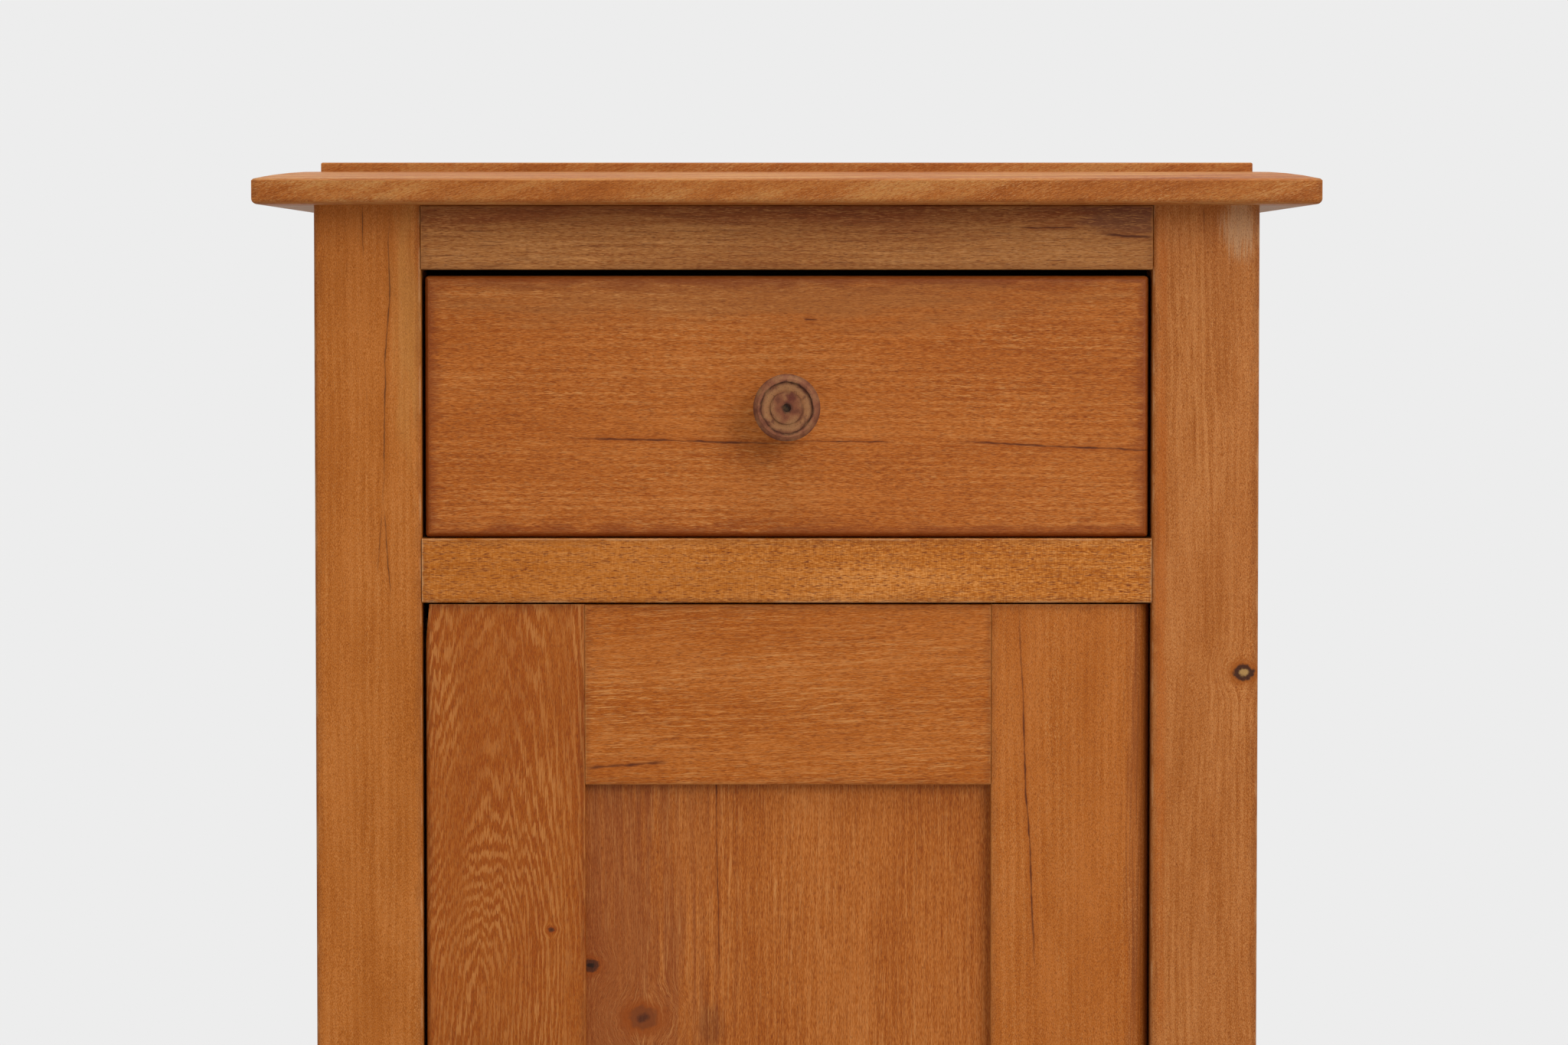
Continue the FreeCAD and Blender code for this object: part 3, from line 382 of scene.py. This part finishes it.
def board_wood(node, species, grain, face, seed, between=(), cracks=(), knots=(), stains_and_shade=(), **changes):
    """The wood of one board, with stains, painted shade, knots and cracks of its own at places in the part's x
    and z.
    """
    look = {**species, **changes}
    material, tree = new_material(look["finish"] + "_" + node)
    turn, middle, half = board_frame(node, grain, face)
    spot = add(tree, "TexCoord", out=3)
    point = add(tree, "Mapping", {"Vector": spot, "Scale": (1 / MM,) * 3, "Rotation": turn.to_euler(),
                                  "Location": turn @ middle / -MM})
    facing = add(tree, "NewGeometry", out=1)
    _, facing_y, facing_z = add(tree, "SeparateXYZ", {0: facing}).node.outputs

    def place(x, z):
        """A place on the front, from the part's x and z in millimetres to across and along the board."""
        local = turn @ (Vector((x * MM, middle.y, z * MM)) - middle) / MM
        return local.x, local.z

    # The grain flows round knots and wanders, so nothing runs dead straight
    flow = point
    hearts = []
    for x, z, radius, core, rim in knots:
        flow, distance = knot_push(tree, flow, place(x, z), radius)
        hearts.append((distance, core, rim))
    bent, drift, strength = grain_flow(tree, flow, facing_y, look, seed)

    # The figure is stronger here and weaker there
    band = ring_band(tree, bent, drift, look, seed)
    vary = add(tree, "MapRange", {0: streaks(tree, drift, *LIVELY, seed + 9), 1: 0.35, 2: 0.65,
                                  3: look["calm"], 4: LIVELIEST})
    wood, fibre, patch = bare_wood(tree, bent, drift, band, strength, vary, look, seed)
    # Stains of the wood; on the door's right stile one is a long strip of painted shade
    for index, (x, z, wide, high, tint, opacity, *ragged) in enumerate(stains_and_shade):
        reach = turn @ Vector((wide, 1, high))
        mask = tone_patch_mask(tree, point, place(x, z), (abs(reach.x), abs(reach.z)), ragged or STAIN_EDGE,
                          opacity, seed + 30 + index)
        wood = tinted(tree, wood, mask, tint)
    wood, pore = marked_wood(tree, wood, bent, drift, band, vary, look, seed)

    # A rail ends, to the eye, where it enters its posts or stiles
    shown = 0.0
    if between:
        axis = "XYZ".index(grain)
        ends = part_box(between[0])[1][axis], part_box(between[1])[0][axis]
        shown = (sum(ends) / 2 - middle[axis]) / MM
        half.z = abs(ends[1] - ends[0]) / 2
    wood = edge_wear_dirt_and_painted_light(tree, wood, margin(tree, point, half, shown), bent, look, seed)

    for distance, core, rim in hearts:
        wood = knot_heart(tree, wood, distance, core, rim, look["tones"][0])
    height = add(tree, "Math", {0: fibre, 1: 0.6, 2: 0.5}, operation="MULTIPLY_ADD")
    height = add(tree, "Math", {0: height, 1: pore}, operation="SUBTRACT")
    # Each crack is drawn dark, with painted shade on its soft edges
    for index, (start, end, width, wobble) in enumerate(cracks):
        mask, shade = hairline(tree, point, place(*start), place(*end), width, wobble, seed + 20 + index)
        wood = tinted(tree, tinted(tree, wood, shade, look["tones"][0]), mask, look["crack"])
        height = add(tree, "Math", {0: height, 1: mask}, operation="SUBTRACT")
    if look["bleach_and_highlight"]:
        wood = weathered_and_lit(tree, wood, point, facing_z, patch, -half.x / MM, look)

    dull = look["roughness"]
    sheen = add(tree, "MapRange", {0: patch, 1: -0.5, 2: 0.5, 3: dull - 0.06, 4: dull + 0.08})
    relief = add(tree, "Bump", {"Strength": 0.3, "Distance": 0.2 * MM, "Height": height})
    skin = add(tree, "BsdfPrincipled", {"Base Color": wood, "Roughness": sheen, "IOR": WAX_IOR,
                                        "Specular IOR Level": look["gloss"], "Normal": relief})
    add(tree, "OutputMaterial", {"Surface": skin})
    return material


# What each board has of its own. A crack is its two ends, width and wobble. A knot is its place, radius, heart
# and rim. A stain, or a strip of painted shade, is its place, half width, half height, tint, strength and, if
# unusual, its edge's two sizes.

# Calm, silky wood with hardly a line in it, as in the posts and the right stile of the door
CALM = dict(silk=(1.0, 0.25, 0.7), lines=(0.15, 1.0, 30.0), pores=(0.5, 0.25, 0.8), hairs=(0.15, 0.3, 10.0),
            flecks=(0.45, 0.25, 0.9), patches=(0.35, 12.0, 60.0))
POSTS = ("front_post_left", "front_post_right")
STILES = ("door_stile_left", "door_stile_right")
LEFT_POSTS = ("front_post_left", "rear_post_left")
RIGHT_POSTS = ("front_post_right", "rear_post_right")
REAR_POST = dict(grain="Z", face="X", tones=("#8a4410", "#9e5a22", "#b06d38"))
SIDE_RAIL = dict(grain="Y", face="X", tones=("#8c450c", "#a46022", "#b9763c"))
SIDE_PANEL = dict(grain="Z", face="X", tilt=(-0.1, 0.0), figure=0.4, gather=0.15,
                  tones=("#863e0a", "#9b5419", "#b06b35"))
ELM_BOARDS = {
    "top_board": dict(
        # The top's paler faces turned to the sky are partly a painted highlight of the light from above, partly
        # fading
        grain="X", face="Z", pith=(15.0, 55.0), tilt=(-0.1, 0.0), ring=5.0, figure=0.4, bleach_and_highlight=0.25, lean=-0.32,
        silk=(0.75, 0.24, 5.0), lines=(0.25, 0.8, 34.0), patches=(0.5, 12.0, 110.0), fleck="#b88450",
        tones=("#87440c", "#a25b20", "#b0793f")),
    # On the front posts the pale tint on the arrises is partly a painted highlight, partly wear
    "front_post_left": dict(
        grain="Z", face="Y", **CALM, worn_and_lit="#c69a6c", wear_and_highlight=0.5, crack="#5c3212",
        tones=("#954c08", "#ab601b", "#bd7334"),
        cracks=[((-172.5, 735), (-176, 594), 0.6, 3.0), ((-176, 600), (-178.5, 570), 0.5, 1.5),
                ((-176, 602), (-172.5, 558), 0.45, 1.5), ((-184.2, 733), (-184, 708), 0.4, 1.0)],
        stains_and_shade=[(-165, 680, 8, 70, "#b5803f", 0.4, 3.0, 30.0)]),
    "front_post_right": dict(
        grain="Z", face="Y", **CALM | dict(lines=(0.35, 1.1, 26.0)), worn_and_lit="#c69a6c", wear_and_highlight=0.5, wander=14.0,
        tones=("#904a0c", "#a86126", "#b9763e"), knots=[(199.3, 528, 3.3, "#a07c48", "#34170a")],
        cracks=[((181, 733), (181.5, 716), 0.4, 1.0)],
        stains_and_shade=[(197, 723, 9, 17, "#c4a078", 0.55, 0.6, 11.0), (163, 560, 3, 260, "#a8540f", 0.5)]),
    "rear_post_left": REAR_POST,
    "rear_post_right": REAR_POST,
    "front_rail_top": dict(
        grain="X", face="Y", between=POSTS, tones=("#834416", "#a0652f", "#b47c48"), pore="#5c2c10",
        hairs=(0.7, 0.3, 22.0), silk=(0.8, 0.24, 3.0),
        cracks=[((98, 722), (130, 721.5), 0.5, 1.0), ((136, 719.2), (161, 717.6), 1.0, 1.2)],
        stains_and_shade=[(20, 736, 270, 17, "#7e3c14", 0.8), (148, 727, 26, 9, "#6c3c26", 0.75)]),
    "front_rail_middle": dict(
        grain="X", face="Y", between=POSTS, pores=(0.9, 0.3, 2.8), pore="#6c2e08", rows=0.08, rays=0.4,
        lines=(0.25, 0.8, 14.0), flecks=(0.4, 0.25, 1.6), hairs=(0.25, 0.35, 8.0), worn_and_lit="#cfa474",
        tones=("#944a02", "#b4681a", "#d08a46"), stains_and_shade=[(-95, 572, 120, 40, "#a65c12", 0.4)]),
    "front_rail_bottom": dict(grain="X", face="Y", between=POSTS),
    "side_rail_top_left": dict(between=LEFT_POSTS, **SIDE_RAIL),
    "side_rail_top_right": dict(between=RIGHT_POSTS, **SIDE_RAIL),
    "side_rail_bottom_left": dict(between=LEFT_POSTS, **SIDE_RAIL),
    "side_rail_bottom_right": dict(between=RIGHT_POSTS, **SIDE_RAIL),
    "side_panel_left": dict(pith=(5.0, 50.0), **SIDE_PANEL),
    "side_panel_right": dict(pith=(10.0, 45.0), **SIDE_PANEL),
    "drawer_front": dict(
        grain="X", face="Y",
        cracks=[((-102, 630.5), (14, 627.2), 0.9, 0.8), ((0, 628.8), (50, 628.6), 0.5, 0.4),
                ((66, 628.8), (180, 624.2), 0.9, 1.0), ((7, 682), (14, 681.5), 0.8, 0.5)],
        # The heavy dark tint along the drawer front's margins is mostly painted shade of its recess, with some
        # dirt
        wear_and_highlight=0.0, grime_and_shade=(8.0, 0.7), dirt_and_shade="#702c06", tones=("#8e4206", "#a85a18", "#bc7032"),
        stains_and_shade=[(-20, 692, 175, 16, "#98602f", 0.5)]),
    "door_stile_left": dict(
        grain="Z", face="Y", ring=2.3, figure=0.14, pith=(17.0, 5.5), tilt=(-0.155, -0.084),
        sink=(50.0, 126.0, 13.0), zigzag=(7.5, 5.0, 60.0), feather=2.2, gather=0.3, flecks=(0.55, 0.3, 8.0),
        fleck="#ba783c", lines=(0.25, 0.8, 20.0), calm=0.2, wander=4.0,
        tones=("#8c3e04", "#9a4e0c", "#a85f20"), knots=[(-103, 415, 1.0, "#3a1a0a", "#5a2a10")]),
    "door_stile_right": dict(
        grain="Z", face="Y", **CALM, cracks=[((100.8, 565), (109.5, 385), 0.8, 1.5)],
        # The long dark strip along the right edge is painted shade on the rounded edge beside the post, with
        # some dirt
        tones=("#964a08", "#aa5e1a", "#b76c30"), stains_and_shade=[(160, 400, 13, 500, "#6a300c", 0.7, 0.8, 40.0)]),
    "door_rail_top": dict(
        grain="X", face="Y", between=STILES, slant=0.04, cracks=[((-91, 485.5), (-50, 488.8), 1.5, 1.0)],
        flecks=(0.75, 0.24, 8.0), hairs=(0.5, 0.24, 14.0), tones=("#944604", "#a85a14", "#ba6e30")),
    "door_rail_bottom": dict(grain="X", face="Y", between=STILES),
    "door_panel": dict(
        grain="Z", face="Y", lines=(0.25, 0.7, 50.0), flecks=(0.4, 0.28, 14.0), hairs=(0.35, 0.28, 30.0),
        tones=("#8a4008", "#a65a18", "#b97034"),
        knots=[(-86, 398.5, 2.6, "#180d07", "#4a2410"), (-63, 375.5, 4.6, "#4c230f", "#743812")],
        cracks=[((-31.5, 505), (-29.5, 385), 0.5, 0.6)],
        stains_and_shade=[(-80, 330, 56, 300, "#783818", 0.55, 2.0, 60.0), (-33, 372, 8, 12, "#5a2a10", 0.4)]),
}

# Grain and face of each softwood board
SOFT_BOARDS = {
    "rear_rail_top": ("X", "Y"), "rear_rail_middle": ("X", "Y"), "rear_rail_bottom": ("X", "Y"),
    "back_board_left": ("Z", "Y"), "back_board_centre": ("Z", "Y"), "back_board_right": ("Z", "Y"),
    "floor_board": ("X", "Z"), "floor_bearer_left": ("Y", "X"), "floor_bearer_right": ("Y", "X"),
    "drawer_runner_left": ("Y", "Z"), "drawer_runner_right": ("Y", "Z"),
    "drawer_guide_left": ("Y", "X"), "drawer_guide_right": ("Y", "X"),
    "drawer_kicker_left": ("Y", "Z"), "drawer_kicker_right": ("Y", "Z"),
    "drawer_stops": ("X", "Z"), "door_stops": ("Z", "Y"),
    "drawer_side_left": ("Y", "X"), "drawer_side_right": ("Y", "X"),
    "drawer_back": ("X", "Y"), "drawer_bottom": ("X", "Z"), "latch_arm": ("Z", "Y"),
}


def dress(node, material):
    """Puts one material on a whole piece."""
    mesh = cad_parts[node].data
    mesh.materials.clear()
    mesh.materials.append(material)


# Every board has a seed of its own, so that no two show the same figure
ELM_SEED, ELM_SEED_STEP = 3.0, 7.3
SOFT_SEED, SOFT_SEED_STEP = 200.0, 5.9
for number, (node, look) in enumerate(ELM_BOARDS.items()):
    dress(node, board_wood(node, ELM, seed=ELM_SEED + ELM_SEED_STEP * number, **look))
for number, (node, (grain, face)) in enumerate(SOFT_BOARDS.items()):
    dress(node, board_wood(node, SOFTWOOD, grain, face, seed=SOFT_SEED + SOFT_SEED_STEP * number))


# Knobs, with sizes in millimetres

KNOBS = ("drawer_knob", "door_knob")
SMEAR = 4.0                     # size of the smears of dirt
SMEAR_REACH = 2.6               # how far they pull the turned rings out of true
DUST = 5.0                      # size of the patches of dust
END_PORE = 0.45                 # open pore of the end grain, drawn coarse enough to show


def turned_wood(node):
    """Turned hardwood, handled and dusty. The eye gets grey brown rings, dark grooves and a pale hollow."""
    material, tree = new_material("turned_hardwood_" + node)
    low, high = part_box(node)
    middle = (low + high) / 2
    spot = add(tree, "TexCoord", out=3)
    point = add(tree, "Mapping", {"Vector": spot, "Scale": (1 / MM,) * 3, "Location": middle / -MM})
    smear = add(tree, "TexNoise", {"Vector": point, "Scale": 1 / SMEAR, "Detail": 3.0}, 1)
    smear = add(tree, "VectorMath", {0: smear, 1: (0.5, 0.5, 0.5)}, operation="SUBTRACT")
    reach = (SMEAR_REACH, 0, SMEAR_REACH)
    flat = add(tree, "VectorMath", {0: smear, 1: reach, 2: point}, operation="MULTIPLY_ADD")
    flat = add(tree, "VectorMath", {0: flat, 1: (1, 0, 1)}, operation="MULTIPLY")
    radius = add(tree, "VectorMath", {0: flat}, 1, operation="LENGTH")
    radius = add(tree, "Math", {0: radius, 1: MM / (high.x - middle.x)}, operation="MULTIPLY")
    # From the pit in the middle to the rim, by share of the radius
    wood = add(tree, "ValToRGB", {0: radius}, stops=[
        (0.0, "#1a100a"), (0.1, "#2a170d"), (0.2, "#744028"), (0.42, "#7c4a2e"), (0.47, "#643720"),
        (0.52, "#8c5a36"), (0.64, "#966640"), (0.72, "#7e4e32"), (0.77, "#3e1b0c"), (0.82, "#804c32"),
        (0.92, "#7c4a32"), (1.0, "#603422")])
    # Dust lies in patches, between them the wood is dark, and beside the pit it is bare and reddish
    dust = add(tree, "TexNoise", {"Vector": point, "Scale": 1 / DUST, "Detail": 4.0})
    pale = add(tree, "MapRange", {0: dust, 1: 0.3, 2: 0.52, 3: 0.45, 4: 0.0})
    wood = tinted(tree, wood, pale, "#a2764a")
    dark = add(tree, "MapRange", {0: dust, 1: 0.54, 2: 0.64, 3: 0.0, 4: 0.75})
    wood = tinted(tree, wood, dark, "#5c2f1e")
    bare = tone_patch_mask(tree, point, place=(1.8, 4.4), reach=(2.8, 2.8), ragged=(1.6, 1.6), strength=0.9,
                      seed=3.0)
    wood = tinted(tree, wood, bare, "#58261a")
    pits = add(tree, "TexNoise", {"Vector": point, "Scale": 1 / END_PORE, "Detail": 2.0})
    pits = add(tree, "MapRange", {0: pits, 1: 0.55, 2: 0.72, 3: 0.0, 4: 0.45})
    wood = tinted(tree, wood, pits, "#2f1c10")
    skin = add(tree, "BsdfPrincipled", {"Base Color": wood, "Roughness": 0.55, "IOR": WAX_IOR,
                                        "Specular IOR Level": 0.2})
    add(tree, "OutputMaterial", {"Surface": skin})
    return material


for node in KNOBS:
    dress(node, turned_wood(node))


# Iron

RUST = 1.5                      # size of the patches of rust, in millimetres


def forged_iron():
    """Hand-forged iron, bare and rusted. The eye gets dark grey metal with dull brown bloom."""
    material, tree = new_material("rusted_forged_iron")
    spot = add(tree, "TexCoord", out=3)
    rust = add(tree, "TexNoise", {"Vector": spot, "Scale": 1 / (RUST * MM), "Detail": 5.0})
    metal = add(tree, "ValToRGB", {0: rust}, stops=[(0.35, "#3c3a38"), (0.5, "#4a3a30"), (0.7, "#6b4025")])
    dull = add(tree, "MapRange", {0: rust, 1: 0.35, 2: 0.65, 3: 0.4, 4: 0.8})
    skin = add(tree, "BsdfPrincipled", {"Base Color": metal, "Roughness": dull, "Metallic": 0.8})
    add(tree, "OutputMaterial", {"Surface": skin})
    return material


iron = forged_iron()
for node in ("back_nails", "door_pivot_pin_top", "door_pivot_pin_bottom", "door_pivot_washer", "latch_pin"):
    dress(node, iron)


# Softened arrises

BOARD_EASE = 0.45 * MM
KNOB_EASE = 0.8 * MM
SAME_POINT = 0.005 * MM         # corners this near each other are one
SAME_FACE = 0.4                 # degrees up to which two facets are one face


def ease_arrises(node, width, angle=40, steps=2):
    """Rounds every corner sharper than an angle in degrees a little, as use and wax have done."""
    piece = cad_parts[node]
    # The solid's facets are joined into whole faces first, so that only true corners are rounded
    weld = piece.modifiers.new("one_skin", "WELD")
    weld.merge_threshold = SAME_POINT
    flat = piece.modifiers.new("flat_faces", "DECIMATE")
    flat.decimate_type = "DISSOLVE"
    flat.angle_limit = math.radians(SAME_FACE)
    # Faces of many corners are cut up again, because rounding can pull spikes out of them
    sound = piece.modifiers.new("sound_faces", "TRIANGULATE")
    sound.min_vertices = 5
    bevel = piece.modifiers.new("eased", "BEVEL")
    bevel.width = width
    bevel.segments = steps
    bevel.limit_method = "ANGLE"
    bevel.angle_limit = math.radians(angle)
    piece.modifiers.new("even_shading", "WEIGHTED_NORMAL")


for node in [*ELM_BOARDS, *SOFT_BOARDS]:
    ease_arrises(node, BOARD_EASE)
for node in KNOBS:
    ease_arrises(node, KNOB_EASE, angle=20, steps=3)


# Stage, light and camera

BACKGROUND = "#ededed"
AMBIENT = 0.55                  # strength of the even light
FLOOR_HALF = 6.0
FLOOR_FADE = 0.9, 2.2           # distances at which the floor begins to fade and is gone
VIEW_DISTANCE = 2.23            # from the camera to the face of the posts
VIEW_HEIGHT = 0.6975
VIEW_ASIDE = -0.0012
VIEW_DIP = 2.67                 # degrees that the camera looks down
FILM = 36.0                     # width in millimetres
LENS = 117.7                    # in millimetres too


def make_floor():
    """A floor of uncoated paper. The eye gets an even pale grey without shine, which fades out far away."""
    half = FLOOR_HALF
    corners = [(-half, -half, 0), (half, -half, 0), (half, half, 0), (-half, half, 0)]
    mesh = bpy.data.meshes.new("floor")
    mesh.from_pydata(corners, [], [(0, 1, 2, 3)])
    floor = bpy.data.objects.new("floor", mesh)
    bpy.context.scene.collection.objects.link(floor)
    material, tree = new_material("uncoated_paper")
    spot = add(tree, "TexCoord", out=3)
    reach = add(tree, "VectorMath", {0: spot}, 1, operation="LENGTH")
    near, far = FLOOR_FADE
    fade = add(tree, "MapRange", {0: reach, 1: near, 2: far}, interpolation_type="SMOOTHSTEP")
    skin = add(tree, "BsdfDiffuse", {"Color": colour("#d2d2d2")})
    clear = add(tree, "BsdfTransparent")
    mixed = add(tree, "MixShader", {0: fade, 1: skin, 2: clear})
    add(tree, "OutputMaterial", {"Surface": mixed})
    mesh.materials.append(material)


def set_world():
    """Even light all round, seen by the camera and in gloss as the pale background."""
    world = bpy.data.worlds.new("studio")
    bpy.context.scene.world = world
    world.use_nodes = True
    tree = world.node_tree
    tree.nodes.clear()
    path = add(tree, "LightPath").node.outputs
    seen = add(tree, "Math", {0: path["Is Camera Ray"], 1: path["Is Glossy Ray"]}, operation="MAXIMUM")
    seen = add(tree, "Math", {0: seen, 1: path["Is Transmission Ray"]}, operation="MAXIMUM")
    light = add(tree, "Background", {"Color": (1, 1, 1, 1), "Strength": AMBIENT})
    back = add(tree, "Background", {"Color": colour(BACKGROUND), "Strength": 1.0})
    mixed = add(tree, "MixShader", {0: seen, 1: light, 2: back})
    add(tree, "OutputWorld", {"Surface": mixed})


def add_softbox(name, place, target, size, power):
    """A square soft light that looks at a point of the cabinet."""
    lamp = bpy.data.lights.new(name, "AREA")
    lamp.shape = "SQUARE"
    lamp.size = size
    lamp.energy = power
    light = bpy.data.objects.new(name, lamp)
    light.location = place
    light.rotation_euler = (Vector(target) - Vector(place)).to_track_quat("-Z", "Y").to_euler()
    bpy.context.scene.collection.objects.link(light)


def set_camera():
    """A view of the front, a little down, framed on the upper half of the cabinet."""
    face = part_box("front_post_left")[0].y
    lens = bpy.data.cameras.new("camera")
    lens.sensor_width = FILM
    lens.lens = LENS
    camera = bpy.data.objects.new("camera", lens)
    camera.location = (VIEW_ASIDE, face - VIEW_DISTANCE, VIEW_HEIGHT)
    camera.rotation_euler = (math.radians(90 - VIEW_DIP), 0, 0)
    bpy.context.scene.collection.objects.link(camera)
    bpy.context.scene.camera = camera


make_floor()
set_world()
add_softbox("key_softbox", place=(1.3, -2.05, 1.65), target=(0, -0.15, 0.5), size=1.3, power=31)
add_softbox("top_softbox", place=(0.2, -0.5, 2.4), target=(0, 0, 0.75), size=1.4, power=22)
add_softbox("rear_softbox", place=(-1.6, 1.9, 1.7), target=(0, 0.1, 0.45), size=1.2, power=26)
set_camera()
bpy.context.scene.view_settings.view_transform = "Standard"
